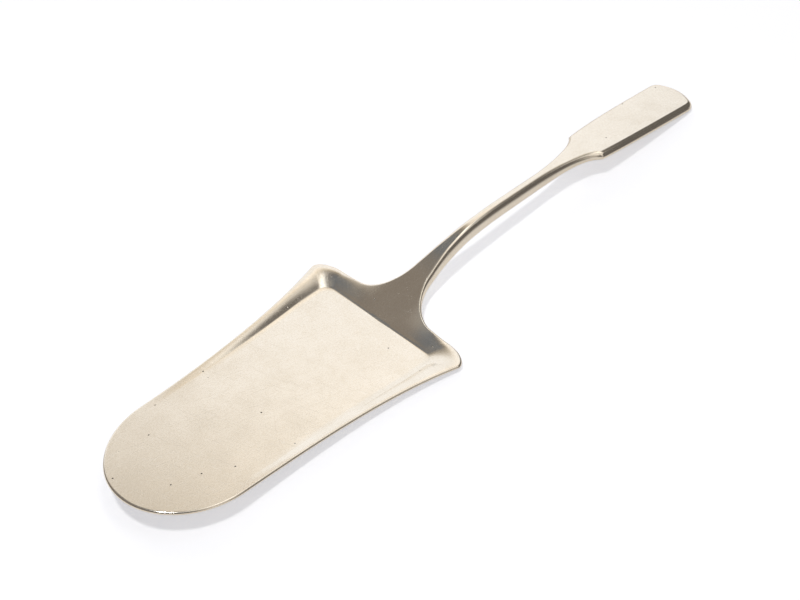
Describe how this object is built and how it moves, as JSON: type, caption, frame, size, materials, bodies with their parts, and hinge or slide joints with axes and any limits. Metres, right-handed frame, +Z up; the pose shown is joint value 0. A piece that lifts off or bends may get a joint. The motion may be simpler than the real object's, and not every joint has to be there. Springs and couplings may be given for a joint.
{
  "type": "cake server",
  "caption": "Polished metal cake server with a shallow tray-shaped blade, raised neck, slim arched handle and flat paddle grip.",
  "frame": {"origin": "on the table plane, below the middle of the server's length, with the server lying as it rests on a table", "axes": "+X from the blade's tip to the handle's end, +Y across the blade, +Z up from the table"},
  "size_m": [0.2412, 0.0612, 0.0134],
  "materials": {
    "polished_metal": "mirror polished, with fine wear scratches and a few small pits"
  },
  "bodies": {
    "root": {"server_body": "polished_metal"}
  },
  "joints": []
}
